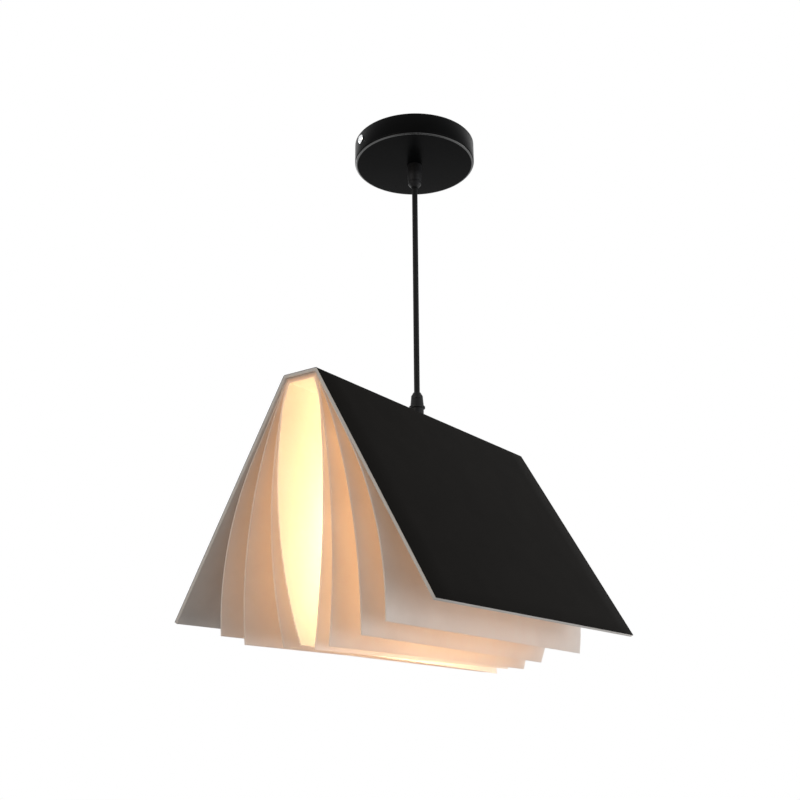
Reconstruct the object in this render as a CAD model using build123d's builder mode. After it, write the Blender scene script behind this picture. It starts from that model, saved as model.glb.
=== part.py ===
from build123d import *

# Pendant lamp in the form of an open book, hung spine up from a round ceiling canopy
# Millimetres, +Z up, X across the book, Y along its spine
# The origin is on the ceiling, at the axis of the cord

import os
from math import cos, radians, sin, sqrt, tan

os.makedirs("parts", exist_ok=True)

# Fits
thread_clearance = 0.05
seat_clearance = 0.1
running_gap = 0.3

# Canopy
canopy_radius = 60.0
canopy_height = 22.0
canopy_wall = 1.2
canopy_edge_radius = 2.5

# Ceiling bracket, a strap with two turned-down tabs on the line of the side screws
bracket_angle = 63.0
bracket_width = 22.0
bracket_thickness = 2.0
bracket_drop = 15.0
bracket_bend_radius = 2.5
ceiling_hole_spacing = 60.0
ceiling_hole_radius = 2.5
cable_hole_radius = 9.0

# Side screws of the canopy
side_screw_core_radius = 2.1
side_screw_length = 8.0
side_screw_head_radius = 4.4
side_screw_head_height = 2.8
side_screw_drop = 8.5
side_screw_hole_clearance = 0.5
slot_share = 0.26
screw_tip_clearance = 1.0

# Terminal block and its wires
terminal_length = 16.0
terminal_width = 22.0
terminal_height = 12.0
terminal_edge_radius = 0.8
barrel_spacing = 10.0
barrel_radius = 2.5
barrel_bore_radius = 1.7
barrel_inset = 1.0
terminal_screw_radius = 1.4
terminal_screw_spacing = 8.0
terminal_screw_recess = 0.6
fixing_screw_radius = 1.45
fixing_screw_head_radius = 2.6
fixing_screw_head_height = 1.8
wire_radius = 1.0
wire_bend_radius = 3.0
wire_ease_radius = 20.0
wire_entry = 4.0
wire_straight = 12.0

# Earth screw
earth_screw_margin = 2.5
earth_screw_radius = 1.7
earth_screw_head_radius = 3.6
earth_screw_head_height = 2.2
earth_washer_radius = 4.5
earth_washer_thickness = 1.0

# Cord
cord_radius = 2.75
cord_free_length = 217.0
bend_drop = 2.0
cord_entry = 2.0
sheath_rise = 2.0

# Threaded nipples and the nuts on them
nipple_radius = 5.0
nipple_bore_radius = 3.5
nipple_entry = 5.0
nut_across_flats = 14.0
nut_height = 3.0
nut_corner = 0.4
washer_radius = 10.0
washer_thickness = 1.0

# Cord grips
grip_cap_length = 6.5
grip_cap_shoulder = 3.0
grip_mouth_radius = 3.5
grip_spigot_radius = 4.5
grip_spigot_length = 3.6
grip_pocket_radius = 3.9
grip_pocket_depth = 6.0
collet_slot_width = 0.7
collet_slot_length = 4.2
collet_slot_count = 4
upper_body_length = 18.5
upper_base_radius = 7.6
upper_seam_radius = 6.6
lower_body_length = 9.0
lower_flange_radius = 7.5
lower_flange_height = 2.0
lower_foot_radius = 6.2
lower_neck_radius = 6.4
lower_seam_radius = 5.7
lower_grip_stand = 11.5

# Cover of the book
cover_length = 336.0
cover_depth = 190.5
cover_thickness = 3.0
jacket_thickness = 0.4
spine_half_width = 17.2
cover_slant = 30.0
cover_fold_radius = 2.5

# Folded sheets, outermost first: slants off plumb at the crease, the knee and the foot
sheet_thickness = 1.0
sheet_fold_radius = 1.5
sheet_inset = 2.0
leaf_length = 214.0
nest_gap = 0.1
leave_slants = (29.4, 29.0, 25.8, 22.4)
knee_slants = (28.9, 18.4, 12.1, 5.7)
near_left_feet = (-6.2, -7.3, -17.2, -22.6)
near_right_feet = (-0.3, 0.9, -4.1, -6.5)
far_right_feet = (-9.3, -21.2, -16.9, -23.4)
outermost_knee_length = 65.0
second_knee_length = 49.0
third_knee_length = 16.0
innermost_knee_length = 31.0

# Clamp plate under the sheets
clamp_width = 22.0
clamp_length = 90.0
clamp_thickness = 1.5
clamp_corner_radius = 4.0

# Lampholder
holder_radius = 18.5
holder_wall = 1.8
holder_boss_radius = 8.0
holder_boss_length = 8.0
holder_dome_height = 17.0
holder_cap_length = 24.0
holder_joint_length = 4.0
holder_body_length = 26.0
holder_throat_radius = 13.9
holder_lip = 1.0
insert_recess = 1.0
insert_radius = 15.0
insert_thickness = 7.0
insert_bore_radius = 1.8
insert_bore_spacing = 14.0
holder_wire_straight = 4.5
contact_radius = 5.0
contact_thickness = 0.8
side_contact_width = 3.0
side_contact_thickness = 0.3
side_contact_length = 9.0

# Bulb
bulb_tip_radius = 4.7
bulb_tip_height = 1.2
bulb_insulator_height = 3.4
bulb_shell_radius = 13.2
bulb_shell_wall = 0.8
bulb_shell_edge_radius = 1.2
bulb_shell_length = 18.0
bulb_collar_length = 10.0
bulb_neck_length = 6.0
bulb_radius = 18.4
bulb_end_roundness = 0.85
bulb_glass_wall = 1.2
bulb_glass_length = 66.0

# Heights worked out from the sizes above
canopy_floor = -canopy_height
canopy_inside = canopy_floor + canopy_wall
upper_seam = canopy_floor - upper_body_length
upper_mouth = upper_seam - grip_cap_length
bend_point = upper_mouth - bend_drop
lower_mouth = upper_mouth - cord_free_length
lower_seam = lower_mouth - grip_cap_length
lower_flange_under = lower_seam - lower_body_length
spine_top = lower_flange_under - lower_grip_stand
lower_base = spine_top + washer_thickness + nut_height
spine_under = spine_top - cover_thickness
webs_under = spine_under - len(leave_slants) * sheet_thickness
clamp_under = webs_under - clamp_thickness
holder_top = clamp_under - nut_height - seat_clearance
holder_seam = holder_top - holder_cap_length
insert_top = holder_seam - insert_recess
insert_under = insert_top - insert_thickness
contact_under = insert_under - contact_thickness
bulb_tip_under = contact_under - bulb_tip_height
bulb_shell_top = bulb_tip_under - bulb_insulator_height
bulb_shell_under = bulb_shell_top - bulb_shell_length
bulb_glass_top = bulb_shell_under - bulb_collar_length
free_cord_end = lower_mouth - cord_entry
nipple_hole_radius = nipple_radius + seat_clearance
nipple_thread_radius = nipple_radius + thread_clearance
cord_bore_radius = cord_radius + running_gap

# Places along the bracket, between the tips of the side screws
strap_end = canopy_radius - side_screw_length - screw_tip_clearance
terminal_place = strap_end - terminal_length / 2
earth_screw_place = earth_washer_radius + earth_screw_margin - strap_end

# Length of each leaf from its crease to its knee, outermost first
knee_lengths = (
    outermost_knee_length,
    second_knee_length,
    third_knee_length,
    innermost_knee_length,
)

# Axes of the bracket
strap_x = Vector(cos(radians(bracket_angle)), sin(radians(bracket_angle)), 0)
strap_y = Vector(-sin(radians(bracket_angle)), cos(radians(bracket_angle)), 0)
strap_plane = Plane(origin=(0, 0, 0), x_dir=strap_x, z_dir=(0, 0, 1))
strap_side = Plane(origin=(0, 0, 0), x_dir=strap_x, z_dir=-strap_y)
screw_line = Plane(origin=(0, 0, -side_screw_drop), x_dir=strap_y, z_dir=strap_x)


def on_strap(along, across, height):
    """A point given along and across the bracket's strap."""
    spot = strap_x * along + strap_y * across
    return Vector(spot.X, spot.Y, height)


def finish(builder, name):
    """Label a sub-part and write it as a STEP file."""
    builder.part.label = name
    export_step(builder.part, f"parts/{name}.step")


def slotted_screw(shank_radius, shank_length, head_radius, head_height):
    """A round-head slotted screw, its seat at height zero and its head upwards."""
    rim = head_height * slot_share
    with BuildPart() as screw:
        with BuildSketch(Plane.XZ):
            with BuildLine():
                Polyline(
                    (0, head_height),
                    (0, -shank_length),
                    (shank_radius, -shank_length),
                    (shank_radius, 0),
                    (head_radius, 0),
                    (head_radius, rim),
                )
                TangentArc((0, head_height), (head_radius, rim), tangent=(1, 0))
            make_face()
        revolve(axis=Axis.Z)
        with BuildSketch(Plane.XY.offset(head_height)):
            Rectangle(2 * head_radius, head_radius * slot_share)
        extrude(amount=-head_height / 2, mode=Mode.SUBTRACT)
    return screw.part


def hex_nut(underside):
    """A thin hexagon nut for the nipple thread."""
    with BuildPart() as nut:
        with BuildSketch(Plane.XY.offset(underside)):
            RegularPolygon(nut_across_flats / 2, 6, major_radius=False)
            Circle(nipple_thread_radius, mode=Mode.SUBTRACT)
        extrude(amount=nut_height)
        chamfer(nut.edges().filter_by(GeomType.LINE).filter_by(Plane.XY), length=nut_corner)
    return nut


def tube(lower, upper, outer_radius, inner_radius):
    """A plain round tube on the cord's axis."""
    with BuildPart() as pipe:
        with BuildSketch(Plane.XY.offset(lower)):
            Circle(outer_radius)
            Circle(inner_radius, mode=Mode.SUBTRACT)
        extrude(amount=upper - lower)
    return pipe


def turned(outline):
    """A part turned about the cord's axis from (radius, height) points."""
    with BuildPart() as lathe:
        with BuildSketch(Plane.XZ):
            with BuildLine():
                Polyline(*outline, close=True)
            make_face()
        revolve(axis=Axis.Z)
    return lathe


# Canopy cup
with BuildPart() as canopy_cup:
    with BuildSketch(Plane.XY.offset(canopy_floor)):
        Circle(canopy_radius)
    extrude(amount=canopy_height)
    fillet(canopy_cup.edges().group_by(Axis.Z)[0], radius=canopy_edge_radius)
    offset(amount=-canopy_wall, openings=canopy_cup.faces().sort_by(Axis.Z)[-1])
    with BuildSketch(Plane.XY.offset(canopy_floor)):
        Circle(nipple_hole_radius)
    extrude(amount=canopy_wall, mode=Mode.SUBTRACT)
    with BuildSketch(screw_line):
        Circle(side_screw_core_radius + side_screw_hole_clearance)
    extrude(amount=canopy_radius, both=True, mode=Mode.SUBTRACT)
finish(canopy_cup, "canopy_cup")

# Ceiling bracket
canopy_inner_radius = canopy_radius - canopy_wall
bracket_reach = sqrt(canopy_inner_radius**2 - (bracket_width / 2) ** 2) - running_gap
with BuildPart() as ceiling_bracket:
    with BuildSketch(strap_side):
        with Locations((0, -bracket_drop / 2)):
            outer = Rectangle(2 * bracket_reach, bracket_drop)
        fillet(outer.vertices().group_by(Axis.Y)[-1], radius=bracket_bend_radius)
        with Locations((0, -bracket_thickness - bracket_drop / 2)):
            Rectangle(2 * (bracket_reach - bracket_thickness), bracket_drop, mode=Mode.SUBTRACT)
    extrude(amount=bracket_width / 2, both=True)
    with BuildSketch(strap_plane):
        Circle(cable_hole_radius)
        with Locations((ceiling_hole_spacing / 2, 0), (-ceiling_hole_spacing / 2, 0)):
            Circle(ceiling_hole_radius)
        with Locations((terminal_place, 0)):
            Circle(fixing_screw_radius + thread_clearance)
        with Locations((earth_screw_place, 0)):
            Circle(earth_screw_radius + thread_clearance)
    extrude(amount=-bracket_thickness, mode=Mode.SUBTRACT)
    with BuildSketch(screw_line):
        Circle(side_screw_core_radius + thread_clearance)
    extrude(amount=bracket_reach, both=True, mode=Mode.SUBTRACT)
finish(ceiling_bracket, "ceiling_bracket")

# Canopy side screws
side_screw = slotted_screw(
    side_screw_core_radius, side_screw_length, side_screw_head_radius, side_screw_head_height
)
with BuildPart() as canopy_side_screws:
    for side in (1, -1):
        seat = Plane(
            origin=strap_x * side * canopy_radius + Vector(0, 0, -side_screw_drop),
            x_dir=(strap_y + Vector(0, 0, 1)),
            z_dir=strap_x * side,
        )
        with Locations(seat.location):
            add(side_screw)
finish(canopy_side_screws, "canopy_side_screws")

# Terminal block
terminal_top = -bracket_thickness
terminal_under = terminal_top - terminal_height
barrel_height = terminal_top - terminal_height / 2
barrel_start = terminal_place - terminal_length / 2
barrel_sides = [side * barrel_spacing / 2 for side in (1, -1)]
barrel_length = terminal_length - 2 * barrel_inset
screw_spots = [
    (terminal_place + end * terminal_screw_spacing / 2, across)
    for across in barrel_sides
    for end in (1, -1)
]
with BuildPart() as terminal_housing:
    with BuildSketch(strap_plane.offset(terminal_under)):
        with Locations((terminal_place, 0)):
            Rectangle(terminal_length, terminal_width)
    extrude(amount=terminal_height)
    fillet(terminal_housing.edges().filter_by(Axis.Z), radius=terminal_edge_radius)
    for across in barrel_sides:
        mouth = Plane(origin=on_strap(barrel_start, across, barrel_height), z_dir=strap_x)
        with BuildSketch(mouth):
            Circle(barrel_radius + seat_clearance)
        extrude(amount=terminal_length, mode=Mode.SUBTRACT)
    with BuildSketch(strap_plane.offset(terminal_under)):
        with Locations(*screw_spots):
            Circle(terminal_screw_radius + seat_clearance)
    extrude(amount=terminal_height / 2, mode=Mode.SUBTRACT)
    with BuildSketch(strap_plane.offset(terminal_under)):
        with Locations((terminal_place, 0)):
            Circle(fixing_screw_radius + seat_clearance)
    extrude(amount=terminal_height, mode=Mode.SUBTRACT)
finish(terminal_housing, "terminal_housing")

# Brass barrels in the terminal block
with BuildPart() as terminal_barrels:
    for across in barrel_sides:
        start = on_strap(barrel_start + barrel_inset, across, barrel_height)
        with BuildSketch(Plane(origin=start, z_dir=strap_x)):
            Circle(barrel_radius)
            Circle(barrel_bore_radius, mode=Mode.SUBTRACT)
        extrude(amount=barrel_length)
    with BuildSketch(strap_plane.offset(terminal_under)):
        with Locations(*screw_spots):
            Circle(terminal_screw_radius + thread_clearance)
    extrude(amount=terminal_height / 2, mode=Mode.SUBTRACT)
finish(terminal_barrels, "terminal_barrels")

# Clamping screws of the terminal block, their tips on the wires
with BuildPart() as terminal_screws:
    with BuildSketch(strap_plane.offset(terminal_under + terminal_screw_recess)):
        with Locations(*screw_spots):
            Circle(terminal_screw_radius)
    extrude(amount=terminal_height / 2 - terminal_screw_recess - wire_radius - thread_clearance)
    with BuildSketch(strap_plane.offset(terminal_under + terminal_screw_recess)):
        with Locations(*screw_spots):
            Rectangle(2 * terminal_screw_radius, terminal_screw_radius * slot_share)
    extrude(amount=terminal_screw_radius / 2, mode=Mode.SUBTRACT)
finish(terminal_screws, "terminal_screws")

# Screw that holds the terminal block to the bracket
fixing_screw = slotted_screw(
    fixing_screw_radius,
    terminal_height + bracket_thickness,
    fixing_screw_head_radius,
    fixing_screw_head_height,
)
with BuildPart() as terminal_fixing_screw:
    with Locations(Plane(on_strap(terminal_place, 0, terminal_under), z_dir=(0, 0, -1)).location):
        add(fixing_screw)
finish(terminal_fixing_screw, "terminal_fixing_screw")

# Earth screw and its washer
washer_under = -bracket_thickness - earth_washer_thickness
earth_screw_part = slotted_screw(
    earth_screw_radius, -washer_under, earth_screw_head_radius, earth_screw_head_height
)
with BuildPart() as earth_screw:
    with Locations(Plane(on_strap(earth_screw_place, 0, washer_under), z_dir=(0, 0, -1)).location):
        add(earth_screw_part)
finish(earth_screw, "earth_screw")

with BuildPart() as earth_washer:
    with BuildSketch(strap_plane.offset(washer_under)):
        with Locations((earth_screw_place, 0)):
            Circle(earth_washer_radius)
            Circle(earth_screw_radius + seat_clearance, mode=Mode.SUBTRACT)
    extrude(amount=earth_washer_thickness)
finish(earth_washer, "earth_washer")

# Nipple and locknut of the canopy
canopy_nipple_top = canopy_inside + 2 * nut_height
canopy_nipple = tube(
    canopy_floor - nipple_entry, canopy_nipple_top, nipple_radius, nipple_bore_radius
)
finish(canopy_nipple, "canopy_nipple")
canopy_locknut = hex_nut(canopy_inside)
finish(canopy_locknut, "canopy_locknut")


def grip_body(base, seam, out, skirt):
    """The body of a cord grip: out is 1 with its mouth upwards and -1 downwards."""
    spigot = seam + out * grip_spigot_length
    pocket = spigot - out * grip_pocket_depth
    thread_end = base + out * nipple_entry
    return turned([
        (nipple_thread_radius, base),
        *skirt,
        (grip_spigot_radius, seam),
        (grip_spigot_radius, spigot),
        (grip_pocket_radius, spigot),
        (grip_pocket_radius, pocket),
        (cord_bore_radius, pocket),
        (cord_bore_radius, thread_end),
        (nipple_thread_radius, thread_end),
    ])


def grip_cap(seam, out, seam_radius):
    """The tapered cap that screws over a grip's spigot."""
    inside = seam + out * (grip_spigot_length + seat_clearance)
    mouth = seam + out * grip_cap_length
    shoulder = seam + out * grip_cap_shoulder
    return turned([
        (grip_spigot_radius + thread_clearance, seam),
        (seam_radius, seam),
        (seam_radius - 2 * seat_clearance, shoulder),
        (grip_mouth_radius, mouth),
        (cord_bore_radius, mouth),
        (cord_bore_radius, inside),
        (grip_spigot_radius + thread_clearance, inside),
    ])


def grip_collet(seam, out):
    """The slotted collet that a grip's cap squeezes on the cord."""
    top = seam + out * grip_spigot_length
    foot = top - out * grip_pocket_depth
    with BuildPart() as jaws:
        with BuildSketch(Plane.XY.offset(min(top, foot))):
            Circle(grip_pocket_radius - thread_clearance)
            Circle(cord_radius + thread_clearance, mode=Mode.SUBTRACT)
        extrude(amount=grip_pocket_depth)
        with BuildSketch(Plane.XY.offset(top)):
            with PolarLocations(grip_pocket_radius, collet_slot_count):
                Rectangle(grip_pocket_radius, collet_slot_width)
        extrude(amount=-out * collet_slot_length, mode=Mode.SUBTRACT)
    return jaws


# Upper cord grip, under the canopy
upper_grip_body = grip_body(
    canopy_floor,
    upper_seam,
    -1,
    [(upper_base_radius, canopy_floor), (upper_seam_radius, upper_seam)],
)
finish(upper_grip_body, "upper_grip_body")
upper_grip_cap = grip_cap(upper_seam, -1, upper_seam_radius)
finish(upper_grip_cap, "upper_grip_cap")
upper_grip_collet = grip_collet(upper_seam, -1)
finish(upper_grip_collet, "upper_grip_collet")

# Lower cord grip, screwed down on its nipple to the nut above the spine
lower_grip_body = grip_body(
    lower_base,
    lower_seam,
    1,
    [
        (lower_foot_radius, lower_base),
        (lower_foot_radius, lower_flange_under),
        (lower_flange_radius, lower_flange_under),
        (lower_flange_radius, lower_flange_under + lower_flange_height),
        (lower_neck_radius, lower_flange_under + lower_flange_height),
        (lower_seam_radius, lower_seam),
    ],
)
finish(lower_grip_body, "lower_grip_body")
lower_grip_cap = grip_cap(lower_seam, 1, lower_seam_radius)
finish(lower_grip_cap, "lower_grip_cap")
lower_grip_collet = grip_collet(lower_seam, 1)
finish(lower_grip_collet, "lower_grip_collet")

# Fixed cord tail in the canopy, its lower end hollowed round the bending point
upper_sheath_top = canopy_nipple_top + sheath_rise
with BuildPart() as upper_cord_tail:
    with BuildSketch(Plane.XY.offset(bend_point)):
        Circle(cord_radius)
    extrude(amount=upper_sheath_top - bend_point)
    with Locations((0, 0, bend_point)):
        Sphere(cord_bore_radius, mode=Mode.SUBTRACT)
finish(upper_cord_tail, "upper_cord_tail")

# Round bending point of the cord, just below the upper grip's mouth
with BuildPart() as cord_bend:
    with Locations((0, 0, bend_point)):
        Sphere(cord_radius)
finish(cord_bend, "cord_bend")

# Free stretch of the cord, pulled straight by the lamp
with BuildPart() as hanging_cord:
    with BuildSketch(Plane.XY.offset(free_cord_end)):
        Circle(cord_radius)
    extrude(amount=bend_point - free_cord_end)
    with Locations((0, 0, bend_point)):
        Sphere(cord_bore_radius, mode=Mode.SUBTRACT)
finish(hanging_cord, "hanging_cord")

# Cord tail in the lamp
lower_sheath_end = holder_top - holder_boss_length - sheath_rise
with BuildPart() as lower_cord_tail:
    with BuildSketch(Plane.XY.offset(lower_sheath_end)):
        Circle(cord_radius)
    extrude(amount=free_cord_end - running_gap - lower_sheath_end)
finish(lower_cord_tail, "lower_cord_tail")

# Wires from the canopy's cord tail to the terminal block
with BuildPart() as canopy_wires:
    for across in barrel_sides:
        core_side = across / abs(across) * (wire_radius + seat_clearance)
        with BuildLine():
            route = FilletPolyline(
                on_strap(0, core_side, upper_sheath_top),
                on_strap(0, core_side, barrel_height),
                on_strap(barrel_start - wire_straight, across, barrel_height),
                on_strap(barrel_start + wire_entry, across, barrel_height),
                radius=[wire_bend_radius, wire_ease_radius],
            )
        with BuildSketch(Plane(origin=route @ 0, z_dir=route % 0)):
            Circle(wire_radius)
        sweep(path=route)
finish(canopy_wires, "canopy_wires")


def cover_line(depth):
    """A line across the folded cover at a depth below its outer face, and its two ends."""
    lean = radians(cover_slant)
    half = spine_half_width - depth * tan(lean)
    foot_x = spine_half_width + cover_depth * tan(lean) - depth * cos(lean)
    foot_z = spine_top - cover_depth - depth * sin(lean)
    top = spine_top - depth
    ends = ((-foot_x, foot_z), (foot_x, foot_z))
    bend = max(cover_fold_radius - depth, 0)
    FilletPolyline(ends[0], (-half, top), (half, top), ends[1], radius=bend)
    return ends


def cover_layer(depth, thickness):
    """One layer of the folded cover, with a hole for the nipple."""
    with BuildPart() as layer:
        with BuildSketch(Plane.XZ):
            with BuildLine():
                outer_ends = cover_line(depth)
                inner_ends = cover_line(depth + thickness)
                for outer_end, inner_end in zip(outer_ends, inner_ends):
                    Line(outer_end, inner_end)
            make_face()
        extrude(amount=cover_length / 2, both=True)
        with BuildSketch(Plane.XY.offset(spine_top - depth)):
            Circle(nipple_hole_radius)
        extrude(amount=-thickness, mode=Mode.SUBTRACT)
    return layer


# Cover board, and the jacket over its outer face
cover_board = cover_layer(jacket_thickness, cover_thickness - jacket_thickness)
finish(cover_board, "cover_board")
cover_jacket = cover_layer(0, jacket_thickness)
finish(cover_jacket, "cover_jacket")


def leaf_line(start, side, slants, lengths, depth):
    """Tangent arcs down one face of a leaf, at a depth below its outer face, and their end."""
    point = start
    for first, last, length in zip(slants, slants[1:], lengths):
        turn = last - first
        radius = length / radians(abs(turn)) + (depth if turn > 0 else -depth)
        heading = (side * sin(radians(first)), -cos(radians(first)))
        point = JernArc(point, heading, radius, side * turn) @ 1
    return point


def foot_slant(number, side, end):
    """The slant of a leaf's foot: side is 1 on the right, end is 1 near. Far left follows near right."""
    if side == end:
        return near_right_feet[number]
    return far_right_feet[number] if side > 0 else near_left_feet[number]


# Folded sheets, each nested in the one before it
crease_half = spine_half_width - cover_thickness * tan(radians(cover_slant)) - nest_gap
for number, leave in enumerate(leave_slants):
    web_top = spine_under - number * sheet_thickness
    fold = 90 - leave
    flat_half = crease_half - sheet_fold_radius * tan(radians(fold) / 2)
    fold_length = sheet_fold_radius * radians(fold)
    knee = knee_slants[number]
    lengths = (fold_length, knee_lengths[number], leaf_length - knee_lengths[number])
    with BuildPart() as sheet:
        for end in (1, -1):
            with BuildSketch(Plane.XZ.offset(end * (cover_length / 2 - sheet_inset))):
                with BuildLine():
                    for depth in (0, sheet_thickness):
                        height = web_top - depth
                        Line((-flat_half, height), (flat_half, height))
                    for side in (-1, 1):
                        slants = (90, leave, knee, foot_slant(number, side, end))
                        outer_foot = leaf_line((side * flat_half, web_top), side, slants, lengths, 0)
                        inner_foot = leaf_line(
                            (side * flat_half, web_top - sheet_thickness),
                            side,
                            slants,
                            lengths,
                            sheet_thickness,
                        )
                        Line(outer_foot, inner_foot)
                make_face()
        loft()
        with BuildSketch(Plane.XY.offset(web_top)):
            Circle(nipple_hole_radius)
        extrude(amount=-sheet_thickness, mode=Mode.SUBTRACT)
    finish(sheet, f"sheet_{number + 1}")
    crease_half -= sheet_thickness * tan(radians(fold) / 2) + nest_gap

# Nut and washer above the spine, and the nipple through spine and sheets
spine_washer = tube(spine_top, spine_top + washer_thickness, washer_radius, nipple_hole_radius)
finish(spine_washer, "spine_washer")
spine_nut = hex_nut(spine_top + washer_thickness)
finish(spine_nut, "spine_nut")
lamp_nipple = tube(
    holder_top - holder_boss_length, lower_base + nipple_entry, nipple_radius, nipple_bore_radius
)
finish(lamp_nipple, "lamp_nipple")

# Clamp plate and locknut under the sheets
with BuildPart() as clamp_plate:
    with BuildSketch(Plane.XY.offset(clamp_under)):
        RectangleRounded(clamp_width, clamp_length, clamp_corner_radius)
        Circle(nipple_hole_radius, mode=Mode.SUBTRACT)
    extrude(amount=clamp_thickness)
finish(clamp_plate, "clamp_plate")
lamp_locknut = hex_nut(clamp_under - nut_height)
finish(lamp_locknut, "lamp_locknut")

# Cap of the lampholder, a domed shell with a threaded boss
dome_foot = holder_top - holder_dome_height
with BuildPart() as holder_cap:
    with BuildSketch(Plane.XZ):
        with BuildLine():
            TangentArc((holder_radius, dome_foot), (holder_boss_radius, holder_top), tangent=(0, 1))
            Polyline(
                (holder_boss_radius, holder_top),
                (0, holder_top),
                (0, holder_seam),
                (holder_radius, holder_seam),
                (holder_radius, dome_foot),
            )
        make_face()
    revolve(axis=Axis.Z)
    offset(amount=-holder_wall, openings=holder_cap.faces().sort_by(Axis.Z)[0])
    with BuildSketch(Plane.XY.offset(holder_top)):
        Circle(holder_boss_radius)
    extrude(amount=-holder_boss_length)
    with BuildSketch(Plane.XY.offset(holder_top)):
        Circle(nipple_thread_radius)
    extrude(amount=-holder_boss_length, mode=Mode.SUBTRACT)
finish(holder_cap, "holder_cap")

# Body of the lampholder, its spigot screwed into the cap
spigot_radius = holder_radius - holder_wall - thread_clearance
holder_under = holder_seam - holder_body_length
holder_body = turned([
    (insert_radius + seat_clearance, holder_seam + holder_joint_length),
    (spigot_radius, holder_seam + holder_joint_length),
    (spigot_radius, holder_seam),
    (holder_radius, holder_seam),
    (holder_radius, holder_under + holder_lip),
    (holder_radius - holder_lip, holder_under),
    (holder_throat_radius, holder_under),
    (holder_throat_radius, insert_under),
    (insert_radius + seat_clearance, insert_under),
])
finish(holder_body, "holder_body")

# Insert that carries the contacts and the terminals
terminal_sides = [side * insert_bore_spacing / 2 for side in (1, -1)]
with BuildPart() as holder_insert:
    with BuildSketch(Plane.XY.offset(insert_under)):
        Circle(insert_radius)
    extrude(amount=insert_thickness)
    with BuildSketch(Plane.XY.offset(insert_top)):
        with Locations(*[(0, along) for along in terminal_sides]):
            Circle(insert_bore_radius)
    extrude(amount=-insert_thickness / 2, mode=Mode.SUBTRACT)
finish(holder_insert, "holder_insert")

# Contacts of the lampholder: a disc under the insert, and a blade down beside the bulb's shell
blade_middle = bulb_shell_radius + seat_clearance + side_contact_thickness / 2
with BuildPart() as holder_contacts:
    with BuildSketch(Plane.XY.offset(contact_under)):
        Circle(contact_radius)
    extrude(amount=contact_thickness)
    with BuildSketch(Plane.XY.offset(insert_under - side_contact_length)):
        with Locations((0, blade_middle)):
            Rectangle(side_contact_width, side_contact_thickness)
    extrude(amount=side_contact_length)
finish(holder_contacts, "holder_contacts")

# Wires from the lower cord tail to the insert
with BuildPart() as holder_wires:
    for along in terminal_sides:
        core_side = along / abs(along) * (wire_radius + seat_clearance)
        with BuildLine():
            route = FilletPolyline(
                (0, core_side, lower_sheath_end),
                (0, core_side, lower_sheath_end - holder_wire_straight),
                (0, along, insert_top + holder_wire_straight),
                (0, along, insert_top - insert_thickness / 2),
                radius=wire_bend_radius,
            )
        with BuildSketch(Plane(origin=route @ 0, z_dir=route % 0)):
            Circle(wire_radius)
        sweep(path=route)
finish(holder_wires, "holder_wires")

# Bulb: tip contact, insulator, screw shell, collar and opal glass
bulb_tip = turned([
    (0, contact_under),
    (bulb_tip_radius - bulb_tip_height, contact_under),
    (bulb_tip_radius, bulb_tip_under),
    (0, bulb_tip_under),
])
finish(bulb_tip, "bulb_tip")
bulb_insulator = turned([
    (0, bulb_tip_under),
    (bulb_tip_radius, bulb_tip_under),
    (bulb_shell_radius - 2 * bulb_shell_wall, bulb_shell_top),
    (0, bulb_shell_top),
])
finish(bulb_insulator, "bulb_insulator")

with BuildPart() as bulb_shell:
    with BuildSketch(Plane.XY.offset(bulb_shell_under)):
        Circle(bulb_shell_radius)
    extrude(amount=bulb_shell_length)
    fillet(bulb_shell.edges().group_by(Axis.Z)[-1], radius=bulb_shell_edge_radius)
    offset(amount=-bulb_shell_wall, openings=bulb_shell.faces().sort_by(Axis.Z)[0])
finish(bulb_shell, "bulb_shell")

neck_radius = bulb_shell_radius - bulb_shell_wall - thread_clearance
bulb_collar = turned([
    (0, bulb_shell_under + bulb_neck_length),
    (neck_radius, bulb_shell_under + bulb_neck_length),
    (neck_radius, bulb_shell_under),
    (bulb_shell_radius, bulb_shell_under),
    (bulb_radius, bulb_glass_top),
    (0, bulb_glass_top),
])
finish(bulb_collar, "bulb_collar")

bulb_glass_under = bulb_glass_top - bulb_glass_length
with BuildPart() as bulb_glass:
    with BuildSketch(Plane.XY.offset(bulb_glass_under)):
        Circle(bulb_radius)
    extrude(amount=bulb_glass_length)
    fillet(bulb_glass.edges().group_by(Axis.Z)[0], radius=bulb_radius * bulb_end_roundness)
    offset(amount=-bulb_glass_wall, openings=bulb_glass.faces().sort_by(Axis.Z)[-1])
finish(bulb_glass, "bulb_glass")

print("spine top", spine_top, "free cord", cord_free_length, "bend", bend_point)
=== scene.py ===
from math import atan2, cos, pi, radians, sin, tan

import bmesh
import bpy
from bpy.props import (
    FloatProperty,
    FloatVectorProperty,
    IntProperty,
    PointerProperty,
)
from mathutils import Matrix, Vector


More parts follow.
